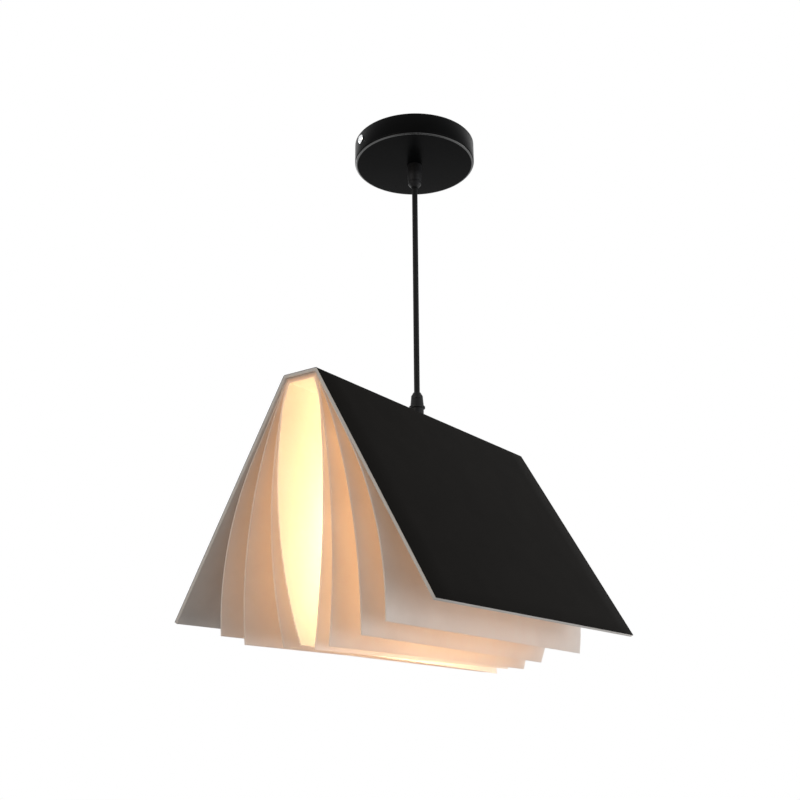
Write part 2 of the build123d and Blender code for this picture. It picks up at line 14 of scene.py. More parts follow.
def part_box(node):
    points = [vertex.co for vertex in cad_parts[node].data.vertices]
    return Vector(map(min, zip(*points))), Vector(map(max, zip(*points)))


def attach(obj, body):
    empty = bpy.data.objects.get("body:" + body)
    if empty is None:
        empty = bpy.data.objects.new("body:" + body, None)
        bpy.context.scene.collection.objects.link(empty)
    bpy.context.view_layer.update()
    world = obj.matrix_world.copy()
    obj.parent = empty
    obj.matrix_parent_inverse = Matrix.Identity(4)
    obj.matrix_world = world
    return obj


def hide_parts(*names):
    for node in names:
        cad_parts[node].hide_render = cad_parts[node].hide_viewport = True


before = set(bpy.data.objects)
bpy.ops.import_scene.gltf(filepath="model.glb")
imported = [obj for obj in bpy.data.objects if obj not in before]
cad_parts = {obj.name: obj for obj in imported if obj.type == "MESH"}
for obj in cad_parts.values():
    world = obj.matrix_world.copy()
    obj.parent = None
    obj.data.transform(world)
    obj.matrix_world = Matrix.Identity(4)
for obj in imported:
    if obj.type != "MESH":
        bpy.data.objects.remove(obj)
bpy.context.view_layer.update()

bl_info = {
    "name": "Open book pendant lamp",
    "version": (1, 0, 0),
    "blender": (4, 5, 0),
    "location": "3D View > Sidebar > Lamp",
    "description": "Builds a hanging lamp shaped like an open book, spine up",
    "category": "Add Mesh",
}

mm = 0.001

# Sides of each turned piece
CANOPY_SIDES = 192
GRIP_SIDES = 128
BULB_SIDES = 96
SCREW_SIDES = 64
HOLE_SIDES = 48

# Steps of each arc, of a panel's straight part and of a leaf's crease, upper and lower part
CORNER_STEPS = 4
CANOPY_STEPS = 12
CANOPY_INNER_STEPS = 8
SCREW_STEPS = 10
FOLD_STEPS = 10
PANEL_STEPS = 16
LEAF_STEPS = (8, 16, 40)
COVER_ROWS = 12

# A radius that counts as none, a bend that counts as straight, and a corner's share of its sides
ON_AXIS = 1e-7
STRAIGHT = radians(172)
CORNER_SHARE = 0.45

# Points that are joined, angles that show as sharp, and angles that are bevelled, in degrees
JOINED = 1e-6
SHARP = 38
LEAF_SHARP = 45
BEVELLED = 50

# Most of a noise pattern lies between these two values
NOISE_LOW = 0.3
NOISE_HIGH = 0.7

# Hole for the nipple through spine and sheets
NIPPLE_HOLE = 5.1 * mm


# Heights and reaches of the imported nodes

def top_of(node):
    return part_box(node)[1][2]


def foot_of(node):
    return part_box(node)[0][2]


def reach_of(node):
    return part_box(node)[1][0]


# Settings that a user would change

def size(name, default, description):
    return FloatProperty(
        name=name, description=description, default=default, precision=5,
        subtype="DISTANCE", unit="LENGTH",
    )


def angle(name, default, description):
    return FloatProperty(
        name=name, description=description, default=radians(default),
        subtype="ANGLE", unit="ROTATION",
    )


def number(name, default, description):
    return FloatProperty(name=name, description=description, default=default, precision=4)


def count(name, default, description):
    return IntProperty(name=name, description=description, default=default, min=1)


def colour(name, default, description):
    return FloatVectorProperty(
        name=name, description=description, default=default, size=3,
        min=0, max=1, subtype="COLOR",
    )


class StageSettings(bpy.types.PropertyGroup):
    eye: FloatVectorProperty(
        name="Camera place", description="Where the camera stands", size=3,
        default=(0.517246, -0.768637, -0.574637), precision=6, subtype="TRANSLATION", unit="LENGTH",
    )
    yaw: angle("Camera yaw", -34.92345, "Turn of the view from the Y axis")
    pitch: angle("Camera pitch", 18.15758, "Tilt of the view above level")
    roll: angle("Camera roll", -0.31781, "Roll of the view about its own axis")
    lens: FloatProperty(
        name="Lens", description="Focal length on a 36 mm sensor", default=46.8631,
        subtype="DISTANCE_CAMERA", unit="CAMERA", precision=4,
    )
    floor_height: size("Floor height", -1.25, "Height of the floor under the lamp")
    world_light: number("Room light", 0.43, "Strength of the even light of the room")
    side_power: number("Side box power", 22.0, "Power of the low soft box on the right, in watts")
    front_power: number("Front box power", 7.0, "Power of the soft box at the near end, in watts")
    back_power: number("Back box power", 10.0, "Power of the soft box behind on the left, in watts")
    strip_power: number("Strip power", 16.0, "Power of each strip that shows in glossy edges, in watts")
    floor_colour: colour("Floor colour", (0.30, 0.30, 0.30), "Pale floor, before its white")
    floor_light: number("Floor white", 0.87, "White that the camera sees on the floor")


class CordSettings(bpy.types.PropertyGroup):
    start: size("Start", -0.049, "Height where the free cord starts")
    length: size("Length", 0.217, "Length of the free cord")
    diameter: size("Diameter", 0.0055, "Diameter of the cord")


class CanopySettings(bpy.types.PropertyGroup):
    radius: size("Radius", reach_of("canopy_cup"), "Outer radius of the canopy")
    height: size("Height", -foot_of("canopy_cup"), "Height of the canopy")
    wall: size("Wall", 1.2 * mm, "Thickness of the sheet steel")
    edge_radius: size("Edge radius", 2.5 * mm, "Radius of the lower edge")
    cord_hole: size("Cord hole", 5.1 * mm, "Radius of the hole for the nipple")
    screw_hole: size("Screw hole", 2.6 * mm, "Radius of the side screws' holes")
    screw_drop: size("Screw drop", 8.5 * mm, "Side screws below the ceiling")
    screw_angle: angle("Screw angle", 63, "Turn of the side screws about the cord")
    screw_count: count("Side screws", 2, "How many side screws hold the canopy")


class GripSettings(bpy.types.PropertyGroup):
    thread_radius: size("Thread radius", 5.05 * mm, "Radius of the thread on the nipple")
    thread_entry: size("Thread entry", 5.0 * mm, "How far the nipple goes in")
    bore_radius: size("Bore radius", 3.05 * mm, "Radius of the bore for the cord")
    spigot_radius: size("Spigot radius", 4.5 * mm, "Radius of the spigot under the cap")
    spigot_length: size("Spigot length", 3.6 * mm, "Length of the spigot under the cap")
    pocket_radius: size("Pocket radius", 3.9 * mm, "Radius of the pocket for the collet")
    pocket_depth: size("Pocket depth", 6.0 * mm, "Depth of the pocket for the collet")
    cap_length: size("Cap length", 6.5 * mm, "Length of the tapered cap")
    shoulder: size("Shoulder", 3.0 * mm, "Length of the cap's straight part")
    mouth_radius: size("Mouth radius", 3.5 * mm, "Radius of the cap's mouth")
    upper_base_radius: size("Upper base", 7.6 * mm, "Radius of the upper grip at the canopy")
    upper_seam_radius: size("Upper seam", 6.6 * mm, "Radius of the upper grip at its cap")
    lower_seam_radius: size("Lower seam", 5.7 * mm, "Radius of the lower grip at its cap")
    neck_radius: size("Lower neck", 6.4 * mm, "Radius of the lower grip above its flange")
    flange_radius: size("Flange radius", 7.5 * mm, "Radius of the lower grip's flange")
    flange_height: size("Flange height", 2.0 * mm, "Height of the lower grip's flange")
    flange_drop: size("Flange drop", 9.0 * mm, "Underside of the flange below the cap")
    foot_radius: size("Foot radius", 6.2 * mm, "Radius of the lower grip's foot")
    edge_radius: size("Grip edges", 0.35 * mm, "Rounding of the grips' edges")


class CoverSettings(bpy.types.PropertyGroup):
    length: size("Length", 0.336, "Length of the book along its spine")
    depth: size("Depth", 190.5 * mm, "Drop of each panel below the spine")
    thickness: size("Thickness", 3.0 * mm, "Board and jacket together")
    jacket: size("Jacket", 0.4 * mm, "Thickness of the jacket")
    spine_half: size("Half spine", 17.2 * mm, "Half the width of the spine")
    slant: angle("Slant", 30, "Slant of each panel off plumb")
    fold_radius: size("Fold radius", 2.5 * mm, "Outer radius of the two folds")


class LeafSettings(bpy.types.PropertyGroup):
    thickness: size("Thickness", 1.0 * mm, "Thickness of each sheet")
    length: size("Leaf length", 0.214, "Length of each leaf from its crease")
    inset: size("Inset", 2.0 * mm, "Leaf ends inside the cover's ends")
    gap: size("Nest gap", 0.1 * mm, "Gap between nested creases")
    fold_radius: size("Fold radius", 1.5 * mm, "Radius of the creases")
    rows: count("Rows", 28, "Rows of faces along the book")


class FinishSettings(bpy.types.PropertyGroup):
    paint: colour("Canopy paint", (0.0042, 0.0044, 0.0047), "Black powder paint")
    rim_gloss: number("Rim gloss", 0.95, "Gloss of the canopy's rounded edge")
    jacket: colour("Jacket", (0.0086, 0.0078, 0.0070), "Black jacket of the cover")
    board: colour("Board", (0.72, 0.69, 0.66), "White board of the cover")
    leaf: colour("Leaf", (0.94, 0.915, 0.89), "Translucent leaves in room light")
    leaf_glow: colour("Leaf glow", (0.95, 0.93, 0.905), "Light that passes through a leaf")
    cord: colour("Cord", (0.015, 0.0155, 0.016), "Sheath of the cord")
    grip: colour("Grips", (0.011, 0.011, 0.012), "Plastic of the cord grips")
    light: colour("Lamp light", (1.0, 0.86, 0.50), "Colour of the bulb's light")
    light_strength: number("Lamp strength", 46.0, "Strength of the bulb's light")
    passing: FloatVectorProperty(
        name="Passing shares", size=4, default=(0.45, 0.60, 0.65, 0.30), precision=3,
        description="Share of light that each sheet lets through, outermost first",
    )
    # Painted glow: emission in each sheet that stands in for the bulb's light scattered through the
    # leaves, with its colour and its reach from the bulb
    glow: FloatVectorProperty(
        name="Glow", size=4, default=(0.080, 0.104, 0.158, 0.335), precision=3,
        description="Light carried inside each sheet, outermost first",
    )
    glow_colour: colour("Glow colour", (1.0, 0.50, 0.22), "Colour of the light inside the sheets")
    glow_reach: size("Glow reach", 0.15, "How far from the bulb the sheets glow")


GROUPS = {
    "lamp_stage": StageSettings,
    "lamp_cord": CordSettings,
    "lamp_canopy": CanopySettings,
    "lamp_grips": GripSettings,
    "lamp_cover": CoverSettings,
    "lamp_leaves": LeafSettings,
    "lamp_finishes": FinishSettings,
}


# Outlines

def rounded(outline, radius):
    """The closed outline with each corner off the axis turned to a small arc."""
    points = [Vector(p) for p in outline]
    result = []
    for i, here in enumerate(points):
        back = points[i - 1] - here
        on = points[(i + 1) % len(points)] - here
        if here.x < ON_AXIS or back.angle(on) > STRAIGHT:
            result.append(tuple(here))
            continue
        most = CORNER_SHARE * min(back.length, on.length)
        cut = min(radius / tan(back.angle(on) / 2), most)
        first, last = here + back.normalized() * cut, here + on.normalized() * cut
        for step in range(CORNER_STEPS + 1):
            t = step / CORNER_STEPS
            result.append(tuple(
                first * (1 - t) ** 2 + here * 2 * t * (1 - t) + last * t ** 2
            ))
    return result


def turned(outline, sides):
    """Points and faces of a closed outline of (radius, height) turned about the cord's axis."""
    points, rings = [], []
    for radius, height in outline:
        start = len(points)
        if radius < ON_AXIS:
            points.append((0, 0, height))
            rings.append([start] * sides)
        else:
            points += [
                (radius * cos(2 * pi * s / sides), radius * sin(2 * pi * s / sides), height)
                for s in range(sides)
            ]
            rings.append(list(range(start, start + sides)))
    faces = []
    for ring, other in zip(rings, rings[1:] + rings[:1]):
        for s in range(sides):
            corners = []
            for corner in (ring[s], ring[(s + 1) % sides], other[(s + 1) % sides], other[s]):
                if corner not in corners:
                    corners.append(corner)
            if len(corners) > 2:
                faces.append(corners)
    return points, faces


# Making and finishing a piece

def new_object(name, points, faces):
    """A mesh object with its faces pointing outwards."""
    mesh = bpy.data.meshes.new(name)
    mesh.from_pydata(points, [], faces)
    form = bmesh.new()
    form.from_mesh(mesh)
    bmesh.ops.remove_doubles(form, verts=form.verts, dist=JOINED)
    bmesh.ops.recalc_face_normals(form, faces=form.faces)
    form.to_mesh(mesh)
    form.free()
    piece = bpy.data.objects.new(name, mesh)
    bpy.context.scene.collection.objects.link(piece)
    return piece


def apply_modifiers(piece):
    """Turn the piece and its modifiers into a plain mesh."""
    graph = bpy.context.evaluated_depsgraph_get()
    mesh = bpy.data.meshes.new_from_object(piece.evaluated_get(graph))
    piece.modifiers.clear()
    piece.data = mesh


def cut_out(piece, tool):
    """Cut the tool's shape out of the piece and delete the tool."""
    cut = piece.modifiers.new("cut", "BOOLEAN")
    cut.operation = "DIFFERENCE"
    cut.solver = "EXACT"
    cut.object = tool
    apply_modifiers(piece)
    bpy.data.objects.remove(tool)


def drill(piece, radius, start, end):
    """Cut a round hole through the piece from start to end."""
    start, end = Vector(start), Vector(end)
    axis = end - start
    outline = [(0, 0), (radius, 0), (radius, axis.length), (0, axis.length)]
    bit = new_object("bit", *turned(outline, HOLE_SIDES))
    aim = axis.to_track_quat("Z", "Y").to_matrix().to_4x4()
    bit.data.transform(Matrix.Translation(start) @ aim)
    cut_out(piece, bit)


def drill_for_nipple(piece, node, below, above):
    """The nipple's hole, from so far below the node's top to so far above it."""
    top = top_of(node)
    drill(piece, NIPPLE_HOLE, (0, 0, top - below), (0, 0, top + above))


def bevel(piece, width):
    """Round the piece's sharp edges."""
    edge = piece.modifiers.new("edge", "BEVEL")
    edge.width = width
    edge.segments = 2
    edge.limit_method = "ANGLE"
    edge.angle_limit = radians(BEVELLED)
    apply_modifiers(piece)


def finish_piece(piece, body, slot, nodes, sharp=SHARP, finish=None):
    """Shade the piece, give it its finish and its body, and let it stand for its nodes."""
    piece.data.materials.clear()
    piece.data.materials.append(bpy.data.materials[finish or slot])
    piece.data.shade_smooth()
    piece.data.set_sharp_from_angle(angle=radians(sharp))
    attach(piece, body)
    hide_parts(*nodes)


# Finishes

def new_finish(name):
    """A node material of that name, with its shader and its object coordinates."""
    old = bpy.data.materials.get(name)
    if old:
        old.name = name + "_packed"
    finish = bpy.data.materials.new(name)
    finish.use_nodes = True
    tree = finish.node_tree
    place = tree.nodes.new("ShaderNodeTexCoord")
    return finish, tree, tree.nodes["Principled BSDF"], place.outputs["Object"]


def noise(tree, place, scale, detail, roughness=0.5, stretch=None):
    """A noise pattern at so many turns a metre, stretched if asked."""
    pattern = tree.nodes.new("ShaderNodeTexNoise")
    pattern.inputs["Scale"].default_value = scale
    pattern.inputs["Detail"].default_value = detail
    pattern.inputs["Roughness"].default_value = roughness
    if stretch:
        mapping = tree.nodes.new("ShaderNodeMapping")
        mapping.inputs["Scale"].default_value = stretch
        tree.links.new(place, mapping.inputs["Vector"])
        place = mapping.outputs["Vector"]
    tree.links.new(place, pattern.inputs["Vector"])
    return pattern.outputs["Fac"]


def spread(tree, pattern, low, high, start=NOISE_LOW, end=NOISE_HIGH):
    """A number that runs from low to high with the pattern."""
    span = tree.nodes.new("ShaderNodeMapRange")
    span.inputs["From Min"].default_value = start
    span.inputs["From Max"].default_value = end
    span.inputs["To Min"].default_value = low
    span.inputs["To Max"].default_value = high
    tree.links.new(pattern, span.inputs["Value"])
    return span.outputs["Result"]


def two_tone(tree, pattern, first, second):
    """A colour that runs from the first to the second with the pattern."""
    ramp = tree.nodes.new("ShaderNodeValToRGB")
    ramp.color_ramp.elements[0].position = NOISE_LOW
    ramp.color_ramp.elements[1].position = NOISE_HIGH
    ramp.color_ramp.elements[0].color = (*first, 1)
    ramp.color_ramp.elements[1].color = (*second, 1)
    tree.links.new(pattern, ramp.inputs["Fac"])
    return ramp.outputs["Color"]


def relief(tree, pattern, depth):
    """A bump of that depth in metres."""
    bump = tree.nodes.new("ShaderNodeBump")
    bump.inputs["Distance"].default_value = depth
    tree.links.new(pattern, bump.inputs["Height"])
    return bump.outputs["Normal"]


def shade(value, share):
    """The colour made darker or lighter by that share."""
    return tuple(min(1, part * share) for part in value)


def plain_finish(name, tone, contrast, rough, metal=0.0, gloss=0.5, grain=900, depth=0.02, patch=60):
    """Paint, plastic or metal: mottled colour, uneven gloss and a fine grain, its depth in mm."""
    finish, tree, shader, place = new_finish(name)
    patches = noise(tree, place, patch, 4)
    fine = noise(tree, place, grain, 2)
    tree.links.new(
        two_tone(tree, patches, shade(tone, 1 - contrast), shade(tone, 1 + contrast)),
        shader.inputs["Base Color"],
    )
    tree.links.new(spread(tree, fine, rough[0], rough[1]), shader.inputs["Roughness"])
    tree.links.new(relief(tree, fine, depth * mm), shader.inputs["Normal"])
    shader.inputs["Metallic"].default_value = metal
    shader.inputs["Specular IOR Level"].default_value = gloss
    return finish


def painted_bulb_glow(tree, place, strength, reach):
    """A painted glow for the leaves: a strength that fades in a bell curve with the distance from the
    middle of the bulb.
    """
    low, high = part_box("bulb_glass")
    away = tree.nodes.new("ShaderNodeVectorMath")
    away.operation = "DISTANCE"
    tree.links.new(place, away.inputs[0])
    away.inputs[1].default_value = [(a + b) / 2 for a, b in zip(low, high)]
    value = away.outputs["Value"]
    for operation, factor in (
        ("POWER", 2),
        ("MULTIPLY", -0.5 / reach ** 2),
        ("EXPONENT", None),
        ("MULTIPLY", strength),
    ):
        step = tree.nodes.new("ShaderNodeMath")
        step.operation = operation
        tree.links.new(value, step.inputs[0])
        if factor is not None:
            step.inputs[1].default_value = factor
        value = step.outputs[0]
    return value


def leaf_finish(settings, name, passing, glow):
    """Milky sheet: a pale matt face with a painted glow in it, emission that stands in for the bulb's
    light through the sheets, mixed with light that passes through.
    """
    finish, tree, shader, place = new_finish(name)
    # Painted glow: emission that fades away from the bulb, standing in for its light carried through
    # the sheet
    shader.inputs["Emission Color"].default_value = (*settings.glow_colour, 1)
    tree.links.new(
        painted_bulb_glow(tree, place, glow / (1 - passing), settings.glow_reach),
        shader.inputs["Emission Strength"],
    )
    cloud = noise(tree, place, 35, 5, 0.6)
    fibre = noise(tree, place, 420, 3, 0.6, stretch=(1, 0.25, 1))
    tree.links.new(
        two_tone(tree, cloud, shade(settings.leaf, 0.965), shade(settings.leaf, 1.03)),
        shader.inputs["Base Color"],
    )
    tree.links.new(spread(tree, fibre, 0.42, 0.56), shader.inputs["Roughness"])
    shader.inputs["Specular IOR Level"].default_value = 0.25
    tree.links.new(relief(tree, fibre, 0.03 * mm), shader.inputs["Normal"])
    through = tree.nodes.new("ShaderNodeBsdfTranslucent")
    tree.links.new(
        two_tone(tree, cloud, shade(settings.leaf_glow, 0.955), shade(settings.leaf_glow, 1.03)),
        through.inputs["Color"],
    )
    both = tree.nodes.new("ShaderNodeMixShader")
    both.inputs["Fac"].default_value = passing
    tree.links.new(shader.outputs["BSDF"], both.inputs[1])
    tree.links.new(through.outputs["BSDF"], both.inputs[2])
    tree.links.new(both.outputs["Shader"], tree.nodes["Material Output"].inputs["Surface"])


# Gloss of the canopy's paint, its rim's share of the edge radius and the width where it fades
CANOPY_GLOSS = 0.02
RIM_SHARE = 0.35
RIM_FADE = 0.2 * mm


def rim_sheen(finish, canopy, rim):
    """More gloss on the canopy's rounded lower edge, where the paint is thickest."""
    tree = finish.node_tree
    place = tree.nodes["Texture Coordinate"].outputs["Object"]
    parts = tree.nodes.new("ShaderNodeSeparateXYZ")
    tree.links.new(place, parts.inputs[0])
    level = tree.nodes.new("ShaderNodeVectorMath")
    level.operation = "MULTIPLY"
    level.inputs[1].default_value = (1, 1, 0)
    tree.links.new(place, level.inputs[0])
    reach = tree.nodes.new("ShaderNodeVectorMath")
    reach.operation = "LENGTH"
    tree.links.new(level.outputs["Vector"], reach.inputs[0])
    inner = canopy.radius - canopy.edge_radius
    upper = RIM_SHARE * canopy.edge_radius - canopy.height
    out = spread(tree, reach.outputs["Value"], 0, 1, inner, inner + RIM_FADE)
    down = spread(tree, parts.outputs["Z"], 1, 0, upper - RIM_FADE, upper)
    edge = tree.nodes.new("ShaderNodeMath")
    edge.operation = "MULTIPLY"
    tree.links.new(out, edge.inputs[0])
    tree.links.new(down, edge.inputs[1])
    gloss = spread(tree, edge.outputs[0], CANOPY_GLOSS, rim, 0, 1)
    tree.links.new(gloss, tree.nodes["Principled BSDF"].inputs["Specular IOR Level"])


def opal_finish(settings):
    """Lit opal diffuser of the bulb."""
    finish, tree, shader, place = new_finish("bulb_opal")
    cloud = noise(tree, place, 120, 3)
    tree.links.new(
        two_tone(tree, cloud, (0.90, 0.88, 0.84), (0.96, 0.95, 0.92)),
        shader.inputs["Base Color"],
    )
    tree.links.new(spread(tree, cloud, 0.25, 0.35), shader.inputs["Roughness"])
    shader.inputs["Emission Color"].default_value = (*settings.light, 1)
    shader.inputs["Emission Strength"].default_value = settings.light_strength


class LAMP_OT_finishes(bpy.types.Operator):
    """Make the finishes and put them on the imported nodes"""

    bl_idname = "lamp.finishes"
    bl_label = "Finishes"

    def execute(self, context):
        f = context.scene.lamp_finishes
        paint = plain_finish("canopy_paint", f.paint, 0.12, (0.24, 0.32), gloss=CANOPY_GLOSS,
                             grain=1500, depth=0.004)
        rim_sheen(paint, context.scene.lamp_canopy, f.rim_gloss)
        plain_finish("zinc_steel", (0.52, 0.53, 0.54), 0.14, (0.28, 0.45), metal=1.0, grain=500,
                     depth=0.01, patch=220)
        plain_finish("chrome", (0.80, 0.81, 0.82), 0.03, (0.06, 0.12), metal=1.0, grain=300,
                     depth=0.002)
        plain_finish("brass", (0.72, 0.52, 0.22), 0.12, (0.22, 0.36), metal=1.0, patch=260,
                     depth=0.006)
        plain_finish("terminal_plastic", (0.78, 0.76, 0.70), 0.04, (0.35, 0.5), depth=0.02)
        plain_finish("grip_plastic", f.grip, 0.10, (0.42, 0.55), gloss=0.12, grain=1800, depth=0.02)
        plain_finish("cord_sheath", f.cord, 0.12, (0.40, 0.52), gloss=0.06, grain=1600, depth=0.02)
        plain_finish("wire_cover", (0.40, 0.30, 0.22), 0.10, (0.35, 0.5))
        plain_finish("cover_white", f.board, 0.05, (0.62, 0.78), gloss=0.25, grain=1300,
                     depth=0.03, patch=45)
        plain_finish("cover_black", f.jacket, 0.10, (0.62, 0.72), gloss=0.015, grain=1900,
                     depth=0.02, patch=30)
        plain_finish("holder_plastic", (0.70, 0.68, 0.65), 0.04, (0.32, 0.46))
        plain_finish("holder_ceramic", (0.82, 0.80, 0.76), 0.04, (0.16, 0.28), patch=150)
        plain_finish("cap_nickel", (0.66, 0.64, 0.60), 0.08, (0.20, 0.34), metal=1.0, patch=240,
                     depth=0.006)
        plain_finish("cap_glass", (0.03, 0.03, 0.035), 0.2, (0.08, 0.16))
        plain_finish("bulb_plastic", (0.82, 0.81, 0.79), 0.03, (0.34, 0.46))
        leaf_finish(f, "leaf_sheet", f.passing[0], f.glow[0])
        for leaf, (passing, glow) in enumerate(zip(f.passing, f.glow)):
            leaf_finish(f, f"leaf_sheet_{leaf + 1}", passing, glow)
        opal_finish(f)
        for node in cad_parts.values():
            for slot in node.material_slots:
                slot.material = bpy.data.materials[slot.material.name.replace("_packed", "")]
        return {"FINISHED"}


# Soft boxes and strips: their distance from the cord, the height they point at and their colours
BOX_DISTANCE = 2.2
BOX_AIM = -0.3
WHITE = (1.0, 1.0, 1.0)
WARM = (1.0, 0.84, 0.66)

# Each one's turn in degrees, height, width, depth, colour, power setting and if it lights the lamp
BOXES = (
    ("strip_left", -112, 0.42, 2.2, 0.22, WHITE, "strip_power", False),
    ("strip_right", 0, 0.42, 2.2, 0.22, WHITE, "strip_power", False),
    ("front_box", -92, -0.20, 0.8, 0.8, WARM, "front_power", True),
    ("side_box", 40, -0.75, 1.2, 1.0, WHITE, "side_power", True),
    ("back_box", 165, -0.10, 1.4, 1.0, WHITE, "back_power", True),
)

# The floor is a flat disc
FLOOR_RADIUS = 14
FLOOR_SIDES = 96


def make_camera(scene, s):
    """The camera at its place, turned by yaw, pitch and roll."""
    ahead = Vector((sin(s.yaw), cos(s.yaw), 0))
    level = Vector((cos(s.yaw), -sin(s.yaw), 0))
    view = ahead * cos(s.pitch) + Vector((0, 0, sin(s.pitch)))
    lift = Vector((0, 0, cos(s.pitch))) - ahead * sin(s.pitch)
    right = level * cos(s.roll) + lift * sin(s.roll)
    up = lift * cos(s.roll) - level * sin(s.roll)
    axes = Matrix((right, up, -view)).transposed().to_4x4()
    camera = bpy.data.objects.new("camera", bpy.data.cameras.new("camera"))
    camera.matrix_world = Matrix.Translation(s.eye) @ axes
    camera.data.lens = s.lens
    camera.data.sensor_width = 36
    camera.data.clip_start = 0.01
    camera.data.clip_end = 100
    scene.collection.objects.link(camera)
    scene.camera = camera


def light_room(scene, s):
    """Even light from all round, in front of a white that the camera sees."""
    world = bpy.data.worlds.new("room")
    scene.world = world
    world.use_nodes = True
    tree = world.node_tree
    ground = tree.nodes["Background"]
    ground.inputs["Color"].default_value = (1, 1, 1, 1)
    tree.links.new(seen_directly(tree, s.world_light, 1.0), ground.inputs["Strength"])


def place_boxes(scene, s):
    """The soft boxes round the lamp, and the strips that only show in glossy edges."""
    middle = Vector((0, 0, BOX_AIM))
    for name, turn, height, width, deep, colour, power, on_lamp in BOXES:
        light = bpy.data.lights.new(name, "AREA")
        light.shape = "RECTANGLE"
        light.size, light.size_y = width, deep
        light.energy = getattr(s, power)
        light.color = colour
        box = bpy.data.objects.new(name, light)
        box.visible_diffuse = box.visible_transmission = on_lamp
        a = radians(turn)
        box.location = (BOX_DISTANCE * cos(a), BOX_DISTANCE * sin(a), height)
        box.rotation_euler = (middle - box.location).to_track_quat("-Z", "Y").to_euler()
        scene.collection.objects.link(box)


def lay_floor(s):
    """The floor, darker for the light than it looks to the camera."""
    turns = [2 * pi * t / FLOOR_SIDES for t in range(FLOOR_SIDES)]
    points = [(FLOOR_RADIUS * cos(a), FLOOR_RADIUS * sin(a), s.floor_height) for a in turns]
    floor = new_object("floor", points, [list(range(FLOOR_SIDES))])
    if floor.data.polygons[0].normal.z < 0:
        floor.data.flip_normals()
    finish, tree, shader, place = new_finish("floor")
    cloud = noise(tree, place, 3, 2)
    tree.links.new(
        two_tone(tree, cloud, shade(s.floor_colour, 0.985), s.floor_colour),
        shader.inputs["Base Color"],
    )
    shader.inputs["Roughness"].default_value = 0.9
    shader.inputs["Specular IOR Level"].default_value = 0.0
    shader.inputs["Emission Color"].default_value = (1, 1, 1, 1)
    tree.links.new(seen_directly(tree, 0.0, s.floor_light), shader.inputs["Emission Strength"])
    floor.data.materials.append(finish)


class LAMP_OT_stage(bpy.types.Operator):
    """Make the camera, the room light, the soft boxes and the floor"""

    bl_idname = "lamp.stage"
    bl_label = "Stage"

    def execute(self, context):
        scene = context.scene
        s = scene.lamp_stage
        scene.view_settings.view_transform = "Standard"
        make_camera(scene, s)
        light_room(scene, s)
        place_boxes(scene, s)
        lay_floor(s)
        return {"FINISHED"}


def seen_directly(tree, elsewhere, straight):
    """A strength for camera, mirror and see-through rays, and another for the light itself."""
    path = tree.nodes.new("ShaderNodeLightPath")
    seen = path.outputs["Is Camera Ray"]
    # A ray that a matt leaf lets through is a diffuse ray too, and gets the light itself
    for operation, ray in (
        ("MAXIMUM", "Is Glossy Ray"),
        ("MAXIMUM", "Is Transmission Ray"),
        ("SUBTRACT", "Is Diffuse Ray"),
    ):
        step = tree.nodes.new("ShaderNodeMath")
        step.operation = operation
        step.use_clamp = True
        tree.links.new(seen, step.inputs[0])
        tree.links.new(path.outputs[ray], step.inputs[1])
        seen = step.outputs[0]
    return spread(tree, seen, elsewhere, straight, 0, 1)


class LAMP_OT_cord(bpy.types.Operator):
    """Make the cord, pulled straight by the lamp"""

    bl_idname = "lamp.cord"
    bl_label = "Cord"

    def execute(self, context):
        s = context.scene.lamp_cord
        line = bpy.data.curves.new("cord_line", "CURVE")
        line.dimensions = "3D"
        spline = line.splines.new("NURBS")
        spans = 4
        heights = [s.start - s.length * t / spans for t in range(spans + 1)]
        spline.points.add(spans)
        for point, height in zip(spline.points, heights):
            point.co = (0, 0, height, 1)
        spline.order_u = 3
        spline.use_endpoint_u = True
        spline.resolution_u = 8
        line.bevel_depth = s.diameter / 2
        line.bevel_resolution = 10
        line.use_fill_caps = True
        line.materials.append(bpy.data.materials["cord_sheath"])
        cord = bpy.data.objects.new("cord_free", line)
        context.scene.collection.objects.link(cord)
        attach(cord, "cord")
        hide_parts("hanging_cord")
        return {"FINISHED"}


class LAMP_OT_canopy(bpy.types.Operator):
    """Make the canopy cup"""

    bl_idname = "lamp.canopy"
    bl_label = "Canopy"

    def execute(self, context):
        s = context.scene.lamp_canopy
        outer, inner = s.edge_radius, s.edge_radius - s.wall
        under, inside = -s.height, -s.height + s.wall
        lip, corner = 0.35 * mm, 0.14 * mm
        outline = [(s.cord_hole, under)]
        for step in range(CANOPY_STEPS + 1):
            a = radians(90 * step / CANOPY_STEPS)
            outline.append((s.radius - outer + outer * sin(a), under + outer - outer * cos(a)))
        outline += [
            (s.radius, -lip),
            (s.radius - corner, -corner),
            (s.radius - lip, 0),
            (s.radius - s.wall + lip, 0),
            (s.radius - s.wall + corner, -corner),
            (s.radius - s.wall, -lip),
        ]
        for step in range(CANOPY_INNER_STEPS + 1):
            a = radians(90 - 90 * step / CANOPY_INNER_STEPS)
            outline.append((s.radius - outer + inner * sin(a), under + outer - inner * cos(a)))
        outline.append((s.cord_hole, inside))
        cup = new_object("canopy_shell", *turned(outline, CANOPY_SIDES))
        reach = 8 * mm
        for k in range(s.screw_count):
            turn = s.screw_angle + 2 * pi * k / s.screw_count
            way = Vector((cos(turn), sin(turn), 0))
            place = Vector((0, 0, -s.screw_drop))
            start = place + way * (s.radius - reach)
            end = place + way * (s.radius + reach)
            drill(cup, s.screw_hole, start, end)
        finish_piece(cup, "canopy", "canopy_paint", ["canopy_cup"])
        return {"FINISHED"}


